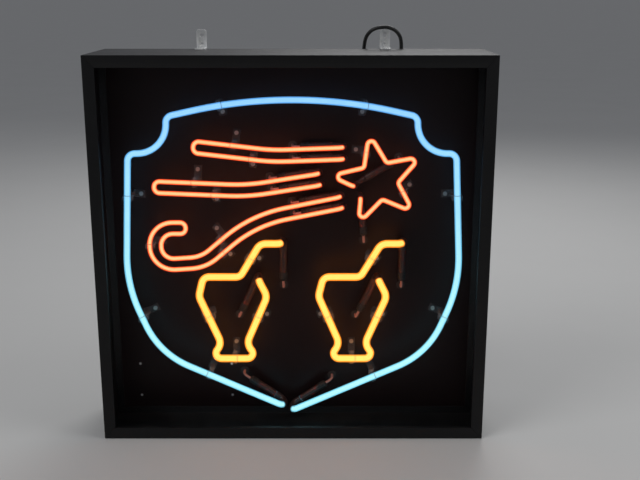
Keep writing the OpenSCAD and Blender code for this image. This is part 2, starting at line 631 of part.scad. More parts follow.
// Hanging brackets: a foot on the top rail and a tab with two holes
hanger_t = 2;
foot_run = 30;
foot_screw = 14;                 // from the tab's front to the foot's screw
foot_screw_r = 2.2;
spare_z = 8;                     // of the small hole low on the tab
spare_r = 2;
tab_cut = 4;                     // diagonal size of the trimmed corners
tab_y = -front - 0.5 - hanger_t;
hole_z = box_h + hanger_h - 9;
module at_hanger(side) translate([side * hanger_gap / 2, 0, 0]) children();
module hanger(side) color("#d2d4d6") at_hanger(side) difference() {
    union() {
        translate([-hanger_w / 2, tab_y + hanger_t - foot_run, box_h])
            cube([hanger_w, foot_run, hanger_t]);
        translate([-hanger_w / 2, tab_y, box_h]) cube([hanger_w, hanger_t, hanger_h]);
    }
    across([0, hole_z], tab_y - past, hanger_hole / 2, hanger_t + 2 * past);
    across([0, box_h + spare_z], tab_y - past, spare_r, hanger_t + 2 * past);
    translate([0, tab_y - foot_screw, box_h - past]) cylinder(r = foot_screw_r, h = hanger_t + 2 * past);
    for (s = [-1, 1]) translate([s * hanger_w / 2, tab_y - past, box_h + hanger_h]) rotate([0, 45, 0])
        translate([-tab_cut / 2, 0, -tab_cut / 2]) cube([tab_cut, hanger_t + 2 * past, tab_cut]);
}
module hanger_left() hanger(-1);
module hanger_right() hanger(1);
module hanger_screws() color("#a9acb0") for (s = [-1, 1]) at_hanger(s)
    translate([0, tab_y - foot_screw, box_h + hanger_t]) rotate([-90, 0, 0])
        screw(m4, hanger_t + wall + 3.5);

module power_cord() color("#111112") rod(cord_path, cord_dia / 2);
cord_path = smooth(cord_route, 2);
module cord_coil() color("#111112") translate([coil_at[0], coil_at[1], 0]) {
    half = coil_lines * cord_dia / 2;
    tall = coil_layers * cord_dia;
    rotate_extrude($fn = 64) translate([coil_r - half, 0]) polygon([
        [coil_edge, 0], [2 * half - coil_edge, 0], [2 * half, coil_edge],
        [2 * half, tall - coil_edge], [2 * half - coil_edge, tall], [coil_edge, tall],
        [0, tall - coil_edge], [0, coil_edge]]);
}
coil_edge = 2;
module cord_tail() color("#111112") rod(smooth(cord_tail_route, 2), cord_dia / 2);

// Three-pin plug lying on its side, pointing to -X
plug_size = [34, 26, 22];
nose_l = 12;                     // taper from the body to the cord
nose_face = [2, 10, 9];
blade = [17, 1.5, 6.3];
blade_gap = 12.7;                // between the middles of the two blades
blade_z = plug_size.z / 2 + 0.8;
earth_pin = [20, 2.4];           // length and radius
earth_pin_z = plug_size.z / 2 - 7;
module plug_body() color("#141415") translate(plug_at) {
    translate([-plug_size.x, -plug_size.y / 2, 0])
        cube([plug_size.x - nose_l, plug_size.y, plug_size.z]);
    hull() {
        translate([-nose_l - 2, -plug_size.y / 2, 0]) cube([2, plug_size.y, plug_size.z]);
        translate([-nose_face.x, -nose_face.y / 2, 0]) cube(nose_face);
    }
}
module plug_pins() color("#c8b48a") translate(plug_at) {
    for (s = [-1, 1]) translate([-plug_size.x - blade.x, s * blade_gap / 2 - blade.y / 2, blade_z])
        cube(blade);
    translate([-plug_size.x - earth_pin[0], 0, earth_pin_z]) rotate([0, 90, 0])
        cylinder(r = earth_pin[1], h = earth_pin[0]);
}

frame_top();
frame_bottom();
frame_left();
frame_right();
corner_angles();
corner_screws();
front_cover();
glazing_strips();
tube_panel();
panel_screws();
crest_tube();
star_tube();
streak_upper_tube();
streak_middle_tube();
streak_lower_tube();
soda_left_tube();
soda_right_tube();
electrodes();
electrode_boots();
electrode_leads();
lead_bushings();
tube_supports();
support_screws();
transformer();
transformer_screws();
hv_terminals();
hv_leads();
series_leads();
terminal_block();
mains_leads();
earth_stud();
earth_lead();
rear_cover();
rear_screws();
switch_body();
switch_rocker();
cable_gland();
gland_nut();
hanger_left();
hanger_right();
hanger_screws();
cord_boot();
power_cord();
cord_coil();
cord_tail();
plug_body();
plug_pins();
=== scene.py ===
import json
import math

import bpy
import bmesh
from mathutils import Matrix, Vector


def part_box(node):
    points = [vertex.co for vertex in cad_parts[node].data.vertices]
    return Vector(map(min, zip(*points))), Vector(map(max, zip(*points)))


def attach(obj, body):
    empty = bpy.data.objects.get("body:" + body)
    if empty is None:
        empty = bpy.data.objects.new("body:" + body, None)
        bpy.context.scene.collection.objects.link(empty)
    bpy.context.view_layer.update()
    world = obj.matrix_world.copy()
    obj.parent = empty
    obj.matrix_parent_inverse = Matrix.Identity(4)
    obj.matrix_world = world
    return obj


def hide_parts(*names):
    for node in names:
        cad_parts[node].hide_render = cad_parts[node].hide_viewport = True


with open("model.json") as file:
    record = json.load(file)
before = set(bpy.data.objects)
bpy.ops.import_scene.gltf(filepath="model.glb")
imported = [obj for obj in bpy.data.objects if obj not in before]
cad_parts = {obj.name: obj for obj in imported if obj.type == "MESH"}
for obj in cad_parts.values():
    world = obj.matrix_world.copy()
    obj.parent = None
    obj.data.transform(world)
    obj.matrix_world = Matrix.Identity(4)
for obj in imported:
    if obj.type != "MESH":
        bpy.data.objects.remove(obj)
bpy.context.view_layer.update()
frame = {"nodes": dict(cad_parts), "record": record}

nodes = frame["nodes"]
mm = 0.001
boxLow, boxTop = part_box("frame_bottom")[0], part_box("frame_top")[1]
frontY = boxLow[1]
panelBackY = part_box("tube_panel")[1][1]
print("frame loaded,", len(nodes), "nodes")


# camera: in front of the sign, a little above its top and right of its middle
cameraPlace = {"toFront": 1.367, "overTop": 0.088, "right": 0.0425, "pitch": 75.2, "lens": 52.9,
               "sensor": 36, "near": 0.05, "far": 900}


def placeCamera(c):
    data = bpy.data.cameras.new("camera")
    data.lens, data.sensor_width = c["lens"], c["sensor"]
    data.clip_start, data.clip_end = c["near"], c["far"]
    camera = bpy.data.objects.new("camera", data)
    camera.location = (c["right"], frontY - c["toFront"], boxTop[2] + c["overTop"])
    camera.rotation_euler = (math.radians(c["pitch"]), 0, 0)
    bpy.context.collection.objects.link(camera)
    bpy.context.scene.camera = camera


placeCamera(cameraPlace)


# shader maths
class Tap:
    # one socket's value; sums and products on it add Math nodes
    def __init__(self, tree, socket):
        self.tree, self.socket = tree, socket

    def work(self, operation, a, b):
        node = self.tree.nodes.new("ShaderNodeMath")
        node.operation = operation
        for place, value in zip(node.inputs, (a, b)):
            if isinstance(value, Tap):
                self.tree.links.new(value.socket, place)
            else:
                place.default_value = value
        return Tap(self.tree, node.outputs[0])

    def __add__(self, other): return self.work("ADD", self, other)
    def __radd__(self, other): return self.work("ADD", other, self)
    def __sub__(self, other): return self.work("SUBTRACT", self, other)
    def __rsub__(self, other): return self.work("SUBTRACT", other, self)
    def __mul__(self, other): return self.work("MULTIPLY", self, other)
    def __rmul__(self, other): return self.work("MULTIPLY", other, self)
    def __pow__(self, other): return self.work("POWER", self, other)


class Finish:
    # a material and the nodes that make it
    def __init__(self, name):
        self.material = bpy.data.materials.new(name)
        self.material.use_nodes = True
        self.tree = self.material.node_tree
        self.tree.nodes.clear()
        self.spot = self.add("TexCoord", out="Object")

    def add(self, kind, settings=None, sockets=None, out=0):
        node = self.tree.nodes.new("ShaderNode" + kind)
        for key, value in (settings or {}).items():
            if key == "stops":
                for stop, (place, shade) in zip(node.color_ramp.elements, value):
                    stop.position = place
                    stop.color = (shade, shade, shade, 1)
            else:
                setattr(node, key, value)
        for key, value in (sockets or {}).items():
            place = node.inputs[key]
            if isinstance(value, Tap):
                self.tree.links.new(value.socket, place)
            elif place.type == "RGBA":
                place.default_value = (*value, 1)
            else:
                place.default_value = value
        return Tap(self.tree, node.outputs[out])

    def stretched(self, x, y, z):
        return self.add("Mapping", {}, {"Vector": self.spot, "Scale": (x, y, z)})

    def noise(self, scale, detail=3.0, rough=0.5, spot=None):
        sockets = {"Vector": spot or self.spot, "Scale": scale, "Detail": detail, "Roughness": rough}
        return self.add("TexNoise", {}, sockets)

    def cells(self, scale, settings=None):
        return self.add("TexVoronoi", settings, {"Vector": self.spot, "Scale": scale}, out="Distance")

    def upward(self):
        return self.add("SeparateXYZ", {}, {0: self.add("NewGeometry", out="Normal")}, out=2)

    def rising(self, low, high, levels):
        # a colour that goes from low to high between two heights
        height = self.add("SeparateXYZ", {}, {0: self.spot}, out=2)
        return self.blend(self.ramp(height, (levels[0], 0.0), (levels[1], 1.0)), low, high)

    def ramp(self, value, *stops):
        return self.add("ValToRGB", {"stops": stops}, {"Fac": value})

    def blend(self, share, a, b):
        return self.add("Mix", {"data_type": "RGBA"}, {0: share, 6: a, 7: b}, out=2)

    def bump(self, height, strength, depth):
        return self.add("Bump", {}, {"Height": height, "Strength": strength, "Distance": depth})

    def surface(self, **sockets):
        names = {"base": "Base Color", "rough": "Roughness", "metal": "Metallic", "normal": "Normal",
                 "glow": "Emission Color", "power": "Emission Strength", "coat": "Coat Weight",
                 "ior": "IOR", "specular": "Specular IOR Level"}
        return self.add("BsdfPrincipled", {}, {names[k]: v for k, v in sockets.items()})

    def seeThrough(self, share, shader, tint=(1.0, 1.0, 1.0)):
        # share of the shader, the rest plain transparency
        through = self.add("BsdfTransparent", {}, {"Color": tint})
        return self.add("MixShader", {}, {0: share, 1: through, 2: shader})

    def done(self, shader):
        out = self.tree.nodes.new("ShaderNodeOutputMaterial")
        self.tree.links.new(shader.socket, out.inputs["Surface"])
        return self.material


def powderCoat(name, colour, gloss, wear=0.25):
    # fine orange peel, dust on what faces up, and edges rubbed a little lighter
    f = Finish(name)
    peel = f.noise(1300, 2)
    cloud = f.noise(4.5, 5, 0.55)
    rub = f.ramp(f.add("NewGeometry", out="Pointiness"), (0.53, 0.0), (0.62, 1.0))
    worn = rub * f.ramp(f.noise(60, 6, 0.7), (0.52, 0.0), (0.68, 1.0))
    lying = f.ramp(f.upward(), (0.55, 0.0), (0.95, 1.0))
    dust = lying * f.ramp(f.noise(35, 8, 0.75), (0.42, 0.1), (0.75, 0.8))
    shade = f.blend(f.ramp(cloud, (0.3, 0.0), (0.75, 1.0)), colour, tuple(c * 1.45 for c in colour))
    dustTone, wornTone = (0.2, 0.195, 0.19), (0.07, 0.07, 0.073)
    shade = f.blend(worn * wear, f.blend(dust * 0.1, shade, dustTone), wornTone)
    rough = gloss + cloud * 0.08 + dust * 0.15 - worn * 0.08
    skin = f.bump(peel, 0.16, 0.0003)
    return f.done(f.surface(base=shade, rough=rough, specular=0.26, normal=skin))


def zincPlate(name, tone=0.62, dull=0.0):
    # bright plating: spangle patches, drawn lines and a few dull marks
    f = Finish(name)
    patches = f.cells(170)
    lines = f.noise(60, 4, 0.6, f.stretched(8, 8, 0.7))
    marks = f.ramp(f.noise(120, 6, 0.7), (0.55, 0.0), (0.72, 1.0))
    bright, grey, stain = (tuple(tone * c for c in tint)
                           for tint in ((1, 1, 0.97), (0.8, 0.81, 0.82), (0.45, 0.44, 0.4)))
    shade = f.blend(marks * 0.5, f.blend(patches, bright, grey), stain)
    rough = 0.26 + dull + lines * 0.18 + marks * 0.15
    return f.done(f.surface(base=shade, rough=rough, metal=1.0, normal=f.bump(lines, 0.12, 0.0002)))


def blackSheet(name):
    # semi-gloss panel with wipe marks, hair scratches and dust specks
    f = Finish(name)
    wipes = f.noise(9, 6, 0.65, f.stretched(1, 1, 2.6))
    hairs = f.ramp(f.noise(40, 3, 0.5, f.stretched(30, 1, 1.4)), (0.66, 0.0), (0.7, 1.0))
    dots = f.ramp(f.cells(150), (0.03, 1.0), (0.07, 0.0))
    specks = dots * f.ramp(f.noise(11, 2), (0.48, 0.0), (0.62, 1.0))
    clean, wiped, dusty = (0.009, 0.0034, 0.0036), (0.0125, 0.0048, 0.0048), (0.06, 0.055, 0.052)
    shade = f.blend(specks * 0.4, f.blend(wipes, clean, wiped), dusty)
    rough = 0.36 + wipes * 0.2 + hairs * 0.12 + specks * 0.3
    relief = f.bump(wipes, 0.05, 0.0006)
    return f.done(f.surface(base=shade, rough=rough, specular=0.22, normal=relief))


def clearPane(name):
    # acrylic: see-through, with a faint wiped film that shows in its gloss
    f = Finish(name)
    film = f.noise(7, 6, 0.6, f.stretched(1, 1, 2.2))
    gloss = f.surface(base=(0.02, 0.02, 0.02), rough=0.03 + film * 0.05, ior=1.3)
    facing = f.add("LayerWeight", {}, {"Blend": 0.5}, out="Facing")
    share = 0.02 + facing ** 5 * 0.7 + f.ramp(film, (0.5, 0.0), (0.8, 0.012))
    return f.done(f.seeThrough(share, gloss, (0.97, 0.98, 0.985)))


def gasGlow(name, low, high, power, levels):
    # the lit column inside the glass, shading from low to high up the sign
    f = Finish(name)
    swirl = f.ramp(f.noise(45, 3), (0.35, 0.0), (0.7, 0.12))
    paler = tuple(min(1, c * 1.3 + 0.05) for c in low)
    glow = f.blend(swirl, f.rising(low, high, levels), paler)
    return f.done(f.surface(base=(0.02, 0.02, 0.02), rough=0.5, glow=glow, power=power))


def gasHaze(name, low, high, power, levels):
    # the thinner glow round the column, half see-through
    f = Finish(name)
    glow = f.rising(low, high, levels)
    body = f.surface(base=(0.01, 0.01, 0.01), rough=0.6, specular=0.0, glow=glow, power=power)
    return f.done(f.seeThrough(0.46 + f.noise(45, 3) * 0.08, body))


def tubeGlass(name, low, high, power, levels):
    # the glass wall: clear, glossy, and filled with the gas's own colour
    f = Finish(name)
    ripple = f.noise(70, 2)
    wall = f.surface(base=(0.05, 0.05, 0.05), rough=0.04 + ripple * 0.05, ior=1.45, power=power,
                     glow=f.rising(low, high, levels), normal=f.bump(ripple, 0.06, 0.0005))
    return f.done(f.seeThrough(0.34 + ripple * 0.08, wall))


def blackout(name, colour):
    # brushed-on paint over the glass ends, with a faint glow in thin streaks: the tube's own light
    # through the paint on the tube ends, painted light on the electrodes
    f = Finish(name)
    streaks = f.noise(160, 5, 0.6)
    glowStreaks = f.ramp(streaks, (0.55, 0.0), (0.75, 1.0))
    shade = f.blend(streaks, (0.016, 0.012, 0.012), (0.05, 0.02, 0.016))
    glow = f.blend(glowStreaks, (0.0, 0.0, 0.0), colour)
    return f.done(f.surface(base=shade, rough=0.34 + streaks * 0.2, glow=glow, power=0.12,
                            normal=f.bump(streaks, 0.3, 0.0003)))


def softPlastic(name, colour, rough, grain=700, depth=0.00015, shift=1.35):
    # moulded plastic, silicone or PVC: a fine grain and slow colour drift
    f = Finish(name)
    fine = f.noise(grain, 3)
    drift = f.noise(30, 5, 0.6)
    paler = tuple(min(1, c * shift) for c in colour)
    shade = f.blend(f.ramp(drift, (0.3, 0.0), (0.72, 1.0)), colour, paler)
    return f.done(f.surface(base=shade, rough=rough + drift * 0.14, normal=f.bump(fine, 0.25, depth)))


def glaze(name, colour):
    # fired ceramic with a slow ripple in the glaze
    f = Finish(name)
    crawl = f.noise(90, 4)
    shade = f.blend(crawl, colour, tuple(c * 0.86 for c in colour))
    relief = f.bump(crawl, 0.08, 0.0004)
    return f.done(f.surface(base=shade, rough=0.14 + crawl * 0.12, coat=0.6, normal=relief))


def clearMoulding(name):
    # polycarbonate supports: see-through with milky edges
    f = Finish(name)
    haze = f.noise(130, 4)
    body = f.surface(base=(0.55, 0.57, 0.6), rough=0.16 + haze * 0.15, ior=1.58,
                     normal=f.bump(haze, 0.1, 0.0003))
    rim = f.add("LayerWeight", {}, {"Blend": 0.35}, out="Facing")
    return f.done(f.seeThrough(0.05 + haze * 0.06 + rim * 0.22, body, (0.9, 0.92, 0.94)))


def brassPin(name):
    # brass drawn along X, spotted with tarnish
    f = Finish(name)
    drawn = f.noise(50, 4, 0.6, f.stretched(1, 14, 14))
    tarnish = f.ramp(f.noise(260, 5, 0.7), (0.5, 0.0), (0.75, 1.0))
    shade = f.blend(tarnish * 0.6, (0.74, 0.6, 0.33), (0.34, 0.24, 0.13))
    return f.done(f.surface(base=shade, rough=0.22 + drawn * 0.14 + tarnish * 0.12, metal=1.0,
                            normal=f.bump(drawn, 0.1, 0.0002)))


def hammeredPaint(name, colour):
    # dimpled enamel on the transformer's case
    f = Finish(name)
    dimples = f.cells(320, {"feature": "SMOOTH_F1"})
    cloud = f.noise(20, 4)
    shade = f.blend(cloud, colour, tuple(c * 1.6 for c in colour))
    return f.done(f.surface(base=shade, rough=0.34 + cloud * 0.12, coat=0.25,
                            normal=f.bump(dimples, 0.4, 0.0004)))


def stripedWire(name, colour, stripe):
    # insulation with a second colour laid along it
    f = Finish(name)
    bands = f.add("TexWave", {"bands_direction": "DIAGONAL"},
                  {"Vector": f.spot, "Scale": 55, "Distortion": 0.6})
    grain = f.noise(600, 2)
    shade = f.blend(f.ramp(bands, (0.5, 0.0), (0.56, 1.0)), colour, stripe)
    return f.done(f.surface(base=shade, rough=0.42 + grain * 0.1, normal=f.bump(grain, 0.15, 0.0001)))


coat = powderCoat("satinBlackCoat", (0.0046, 0.0045, 0.0048), 0.36, 0.12)
coverCoat = powderCoat("mattBlackCover", (0.02, 0.02, 0.021), 0.5, 0.04)
zinc = zincPlate("zincPlate", 0.9, 0.2)
darkZinc = zincPlate("darkZinc", 0.3)
screwZinc = zincPlate("screwZinc", 0.42, 0.1)
panelBlack = blackSheet("tubePanelBlack")
pane = clearPane("clearAcrylic")
rubber = softPlastic("siliconeBoot", (0.017, 0.016, 0.016), 0.5, 500)
leadPink = softPlastic("leadPink", (0.42, 0.2, 0.17), 0.4, 600)
leadRed = softPlastic("leadRed", (0.2, 0.03, 0.025), 0.4, 600)
ceramic = glaze("offWhiteGlaze", (0.72, 0.69, 0.61))
moulding = clearMoulding("clearSupport")
nylon = softPlastic("creamNylon", (0.62, 0.59, 0.5), 0.4)
moulded = softPlastic("mouldedBlack", (0.014, 0.014, 0.015), 0.3, 900, 0.0002)
cordPvc = softPlastic("cordSheath", (0.014, 0.014, 0.014), 0.36, 420, 0.0002)
stripBlack = softPlastic("stripBlack", (0.016, 0.016, 0.017), 0.52, 500)
strapWeave = softPlastic("strapWeave", (0.02, 0.02, 0.022), 0.7, 1400, 0.0004)
brownWire = softPlastic("brownWire", (0.11, 0.05, 0.025), 0.38)
earthWire = stripedWire("earthWire", (0.42, 0.4, 0.03), (0.03, 0.16, 0.04))
brass = brassPin("brassPin")
casePaint = hammeredPaint("casePaint", (0.045, 0.05, 0.055))
tieWire = zincPlate("tieWire", 0.3, 0.15)
print("finishes made")


# helpers
def keep(mesh, name, material, node=None, body="sign", smooth=35):
    piece = bpy.data.objects.new(name, mesh)
    bpy.context.collection.objects.link(piece)
    mesh.materials.clear()
    mesh.materials.append(material)
    mesh.polygons.foreach_set("use_smooth", [True] * len(mesh.polygons))
    mesh.set_sharp_from_angle(angle=math.radians(smooth))
    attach(piece, body)
    if node:
        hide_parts(node)
    return piece


def meshOf(bm, name):
    mesh = bpy.data.meshes.new(name)
    bm.to_mesh(mesh)
    bm.free()
    return mesh


def tubeMesh(points, radius, name, ring=6):
    # a round rod along a line of points, closed at both ends
    curve = bpy.data.curves.new(name, "CURVE")
    curve.dimensions, curve.bevel_depth, curve.bevel_resolution = "3D", radius, ring
    curve.use_fill_caps, curve.twist_mode = True, "MINIMUM"
    line = curve.splines.new("POLY")
    line.points.add(len(points) - 1)
    for place, p in zip(line.points, points):
        place.co = (*p, 1)
    holder = bpy.data.objects.new(name, curve)
    mesh = bpy.data.meshes.new_from_object(holder)
    bpy.data.objects.remove(holder)
    bpy.data.curves.remove(curve)
    return mesh


def lathe(profile, steps=32):
    # profile is (radius, height) pairs, spun about +Z from the first to the last
    bm = bmesh.new()
    verts = [bm.verts.new((r, 0, h)) for r, h in profile]
    edges = [bm.edges.new(pair) for pair in zip(verts, verts[1:])]
    bmesh.ops.spin(bm, geom=verts + edges, cent=(0, 0, 0), axis=(0, 0, 1), angle=2 * math.pi,
                   steps=steps, use_merge=True, use_duplicate=False)
    bmesh.ops.remove_doubles(bm, verts=bm.verts, dist=1e-6)
    bmesh.ops.holes_fill(bm, edges=[e for e in bm.edges if e.is_boundary], sides=0)
    bmesh.ops.recalc_face_normals(bm, faces=bm.faces)
    return bm


def turnedTo(way):
    return Vector((0, 0, 1)).rotation_difference(way).to_matrix().to_4x4()


def joined(parts, name):
    # several bmeshes in one mesh
    whole = bmesh.new()
    for part in parts:
        mesh = meshOf(part, name)
        whole.from_mesh(mesh)
        bpy.data.meshes.remove(mesh)
    return meshOf(whole, name)


def softened(node, width, material, segments=2, corner=40, smooth=25, body="sign"):
    # the CAD shape with its sharp edges broken, as pressed and moulded parts have
    bm = bmesh.new()
    bm.from_mesh(nodes[node].data)
    bmesh.ops.remove_doubles(bm, verts=bm.verts, dist=1e-6)
    bmesh.ops.dissolve_limit(bm, angle_limit=math.radians(0.5), verts=bm.verts, edges=bm.edges)
    sharp = [e for e in bm.edges
             if len(e.link_faces) == 2 and e.calc_face_angle() > math.radians(corner)]
    bmesh.ops.bevel(bm, geom=sharp, offset=width * mm, offset_type="OFFSET", affect="EDGES",
                    segments=segments, profile=0.5, material=-1, clamp_overlap=True)
    slot = next(s["material_slot"] for s in frame["record"]["subparts"] if s["node"] == node)
    return keep(meshOf(bm, node), node + "_soft", material, node, body, smooth)


# power cord: gland, up behind the box, over the right bracket, down, coil, plug
cordPlan = {"diameter": 6, "length": 2.0, "coilAt": (100, 135), "coilR": 34, "turns": 4.25,
            "perTurn": 20, "exit": (113, 78.5, 440)}
cordRoute = [(113, 72, 440), (113, 86, 440), (113, 99, 440), (113, 112, 440),
             (113, 122.7, 442.1), (113, 131.8, 448.2), (113, 137.9, 457.3), (113, 140, 468),
             (113, 139.2, 486), (113, 135, 508), (113, 126.5, 534), (113, 115, 560),
             (113, 101.5, 585), (113.5, 91.5, 604), (116, 84.5, 617.5), (122.5, 80.3, 626.8),
             (131.6, 78, 631.9), (143.5, 77, 633.6), (152, 77.3, 632.7), (162.2, 78.6, 627.9),
             (169.4, 81.2, 619), (172, 83.6, 607), (172, 85, 588), (172, 85, 500),
             (172, 85, 400), (172, 85, 300), (172, 85, 200), (172, 85, 110),
             (172, 85, 50), (172, 85, 31), (170.5, 86.5, 20.3), (166.1, 90.7, 11.2),
             (159.6, 97.1, 5.1), (150, 106.4, 3), (139.8, 120.4, 3), (137, 135, 3)]
cordTail = [(100, 172, 15), (84, 171.5, 15), (68, 168, 12.5), (54, 162, 8),
            (40, 156, 5), (26, 152.4, 4.5), (12.3, 152, 4.5)]


def eased(t):
    t = min(1, max(0, t))
    return t * t * (3 - 2 * t)


def coilPoints(c):
    # outer turn, inner turn, inner turn on top, outer turn on top; each step eased over a quarter
    d = c["diameter"]
    lines, layers = (0.5, -0.5, -0.5, 0.5, 0.5), (0.5, 0.5, 1.5, 1.5, 2.5)
    quarter, points = 0.25, []
    for k in range(1, int(c["turns"] * c["perTurn"])):
        turn = k / c["perTurn"]
        begun = turn + quarter / 2
        at = min(int(begun), len(lines) - 1)
        step = eased((begun - at) / quarter) if at else 1
        last = max(at - 1, 0)
        line = lines[last] + (lines[at] - lines[last]) * step
        layer = layers[last] + (layers[at] - layers[last]) * step
        angle = 2 * math.pi * turn
        r = c["coilR"] + line * d
        x, y = c["coilAt"]
        points.append((x + r * math.cos(angle), y + r * math.sin(angle), layer * d))
    return points


def makeCord(c):
    points = [Vector(p) * mm for p in cordRoute + coilPoints(c) + cordTail]
    curve = bpy.data.curves.new("powerCord", "CURVE")
    curve.dimensions, curve.resolution_u, curve.bevel_resolution = "3D", 6, 5
    curve.use_fill_caps, curve.twist_mode = True, "MINIMUM"
    curve.bevel_depth = c["diameter"] / 2 * mm
    line = curve.splines.new("BEZIER")
    line.bezier_points.add(len(points) - 1)
    for k, (place, p) in enumerate(zip(line.bezier_points, points)):
        before, after = points[max(k - 1, 0)], points[min(k + 1, len(points) - 1)]
        way = (after - before).normalized()
        place.handle_left_type = place.handle_right_type = "FREE"
        place.co = p
        place.handle_left = p - way * (p - before).length / 3
        place.handle_right = p + way * (after - p).length / 3
    cord = bpy.data.objects.new("powerCord", curve)
    bpy.context.collection.objects.link(cord)
    curve.materials.append(cordPvc)
    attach(cord, "sign")
    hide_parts("power_cord", "cord_coil", "cord_tail")
    return cord


bootPlan = {"long": 30, "root": 7, "collar": 4, "tipWall": 1.2, "gap": 0.1, "edge": 0.6, "steps": 36,
            "ribs": 5, "ribsFrom": 5.5, "ribsSpare": 8, "cut": 1.1, "cutWide": 1.2, "slope": 0.6,
            "lip": 0.15}


def makeBoot(b, c):
    # tapered strain relief with cut ribs
    hole, tip = c["diameter"] / 2 + b["gap"], c["diameter"] / 2 + b["tipWall"]
    root, collar, long = b["root"], b["collar"], b["long"]
    profile = [(hole, 0), (root, 0), (root, collar)]
    for k in range(b["ribs"]):
        z = b["ribsFrom"] + k * (long - b["ribsSpare"]) / b["ribs"]
        wide = root + (tip - root) * (z - collar) / (long - collar)
        floor, end = z + b["slope"], z + b["slope"] + b["cutWide"]
        profile += [(wide, z), (wide - b["cut"], floor), (wide - b["cut"], end),
                    (wide - b["lip"], end + b["slope"])]
    profile += [(tip, long - 1), (tip - b["edge"], long), (hole, long)]
    bm = lathe([(r * mm, h * mm) for r, h in profile + [profile[0]]], b["steps"])
    out = Matrix.Translation(Vector(c["exit"]) * mm) @ turnedTo(Vector((0, 1, 0)))
    bmesh.ops.transform(bm, matrix=out, verts=bm.verts)
    return keep(meshOf(bm, "cordBoot"), "cordBoot", cordPvc, "cord_boot", smooth=50)


# sections of the moulded plug from its face to the cord, in mm: along, half width, half height
plugPlan = {"at": (12, 152, 0), "squareness": 0.42, "faceRim": 1.6, "faceDrop": 0.5, "steps": 48,
            "sections": [(-34, 12.2, 10.3), (-33.3, 12.9, 10.95), (-27, 13, 11),
                         (-26, 12.3, 10.7), (-24.6, 12.3, 10.7), (-24, 12.8, 10.9),
                         (-22.8, 12.8, 10.9), (-22.2, 12.2, 10.6), (-20.8, 12.2, 10.6),
                         (-20.2, 12.6, 10.8), (-19, 12.6, 10.8), (-18.4, 12, 10.5),
                         (-17, 12, 10.5), (-16.4, 12.4, 10.7), (-14, 12.2, 10.6),
                         (-12.2, 11.2, 10), (-10.4, 8.9, 8.6), (-9, 7.4, 7.5),
                         (-8.6, 6.7, 6.9), (-7.4, 6.6, 6.7), (-7, 6.9, 6.9),
                         (-5.8, 6.4, 6.3), (-5.4, 5.7, 5.7), (-4.2, 5.6, 5.5),
                         (-3.8, 5.8, 5.5), (-0.6, 4.7, 4.5), (0, 4.1, 4.3)]}


def makePlug(p):
    # one ring drawn out along the plug, scaled about the floor line so that it lies flat
    bm = bmesh.new()
    bmesh.ops.create_circle(bm, segments=p["steps"], radius=1)
    along, wide, tall = p["sections"][0]
    for v in bm.verts:
        square = [math.copysign(abs(c) ** p["squareness"], c) for c in v.co[:2]]
        v.co = (along, square[0] * wide, (square[1] + 1) * tall)
    edges = bm.edges[:]
    for place, w, t in p["sections"][1:]:
        grown = bmesh.ops.extrude_edge_only(bm, edges=edges)["geom"]
        ring = [g for g in grown if isinstance(g, bmesh.types.BMVert)]
        edges = [g for g in grown if isinstance(g, bmesh.types.BMEdge)]
        bmesh.ops.scale(bm, vec=(1, w / wide, t / tall), verts=ring)
        bmesh.ops.translate(bm, vec=(place - along, 0, 0), verts=ring)
        along, wide, tall = place, w, t
    bmesh.ops.holes_fill(bm, edges=[e for e in bm.edges if e.is_boundary], sides=0)
    bmesh.ops.recalc_face_normals(bm, faces=bm.faces)
    face = min(bm.faces, key=lambda f: f.calc_center_median().x)
    bmesh.ops.inset_region(bm, faces=[face], thickness=p["faceRim"], depth=-p["faceDrop"])
    bmesh.ops.transform(bm, verts=bm.verts,
                        matrix=Matrix.Scale(mm, 4) @ Matrix.Translation(Vector(p["at"])))
    return keep(meshOf(bm, "plugBody"), "plugBody", cordPvc, "plug_body", smooth=40)


tiePlan = {"at": 205, "wide": 10, "thick": 0.9, "gap": 0.2, "under": 0.1, "round": 2.6, "tail": 7,
           "tailFrom": 3.4, "tailInset": 0.4, "edge": 0.3}


def makeTie(t, c):
    # hook-and-loop strap round the four turns, its free end pressed down on top
    half, tall = c["diameter"] + t["gap"], 2 * c["diameter"] + t["gap"]
    bm = bmesh.new()
    bmesh.ops.create_cube(bm, size=1)
    bmesh.ops.transform(bm, verts=bm.verts, matrix=Matrix.Translation((0, 0, tall / 2 + t["under"]))
                        @ Matrix.Diagonal((t["wide"], 2 * half, tall, 1)))
    bmesh.ops.delete(bm, geom=[f for f in bm.faces if abs(f.normal.x) > 0.5], context="FACES_ONLY")
    long = [e for e in bm.edges if not e.is_boundary]
    bmesh.ops.bevel(bm, geom=long, offset=t["round"], affect="EDGES", segments=5, profile=0.5,
                    material=-1)
    bmesh.ops.recalc_face_normals(bm, faces=bm.faces)
    bmesh.ops.solidify(bm, geom=bm.faces[:], thickness=-t["thick"])
    flap = bmesh.ops.create_cube(bm, size=1)["verts"]
    onTop = (0, t["tail"] / 2 - half + t["tailFrom"], tall + t["thick"] * 1.5)
    bmesh.ops.transform(bm, verts=flap, matrix=Matrix.Translation(onTop)
                        @ Matrix.Diagonal((t["wide"] - t["tailInset"], t["tail"], t["thick"], 1)))
    bmesh.ops.bevel(bm, geom=[e for e in bm.edges if set(e.verts) <= set(flap)], offset=t["edge"],
                    affect="EDGES", segments=2, profile=0.5, material=-1)
    low = min(v.co.z for v in bm.verts)
    angle = math.radians(t["at"])
    spot = Vector((*c["coilAt"], -low)) + c["coilR"] * Vector((math.cos(angle), math.sin(angle), 0))
    bmesh.ops.transform(bm, verts=bm.verts, matrix=Matrix.Scale(mm, 4) @ Matrix.Translation(spot)
                        @ Matrix.Rotation(angle + math.pi / 2, 4, "Z"))
    bmesh.ops.recalc_face_normals(bm, faces=bm.faces)
    return keep(meshOf(bm, "coilTie"), "coilTie", strapWeave)


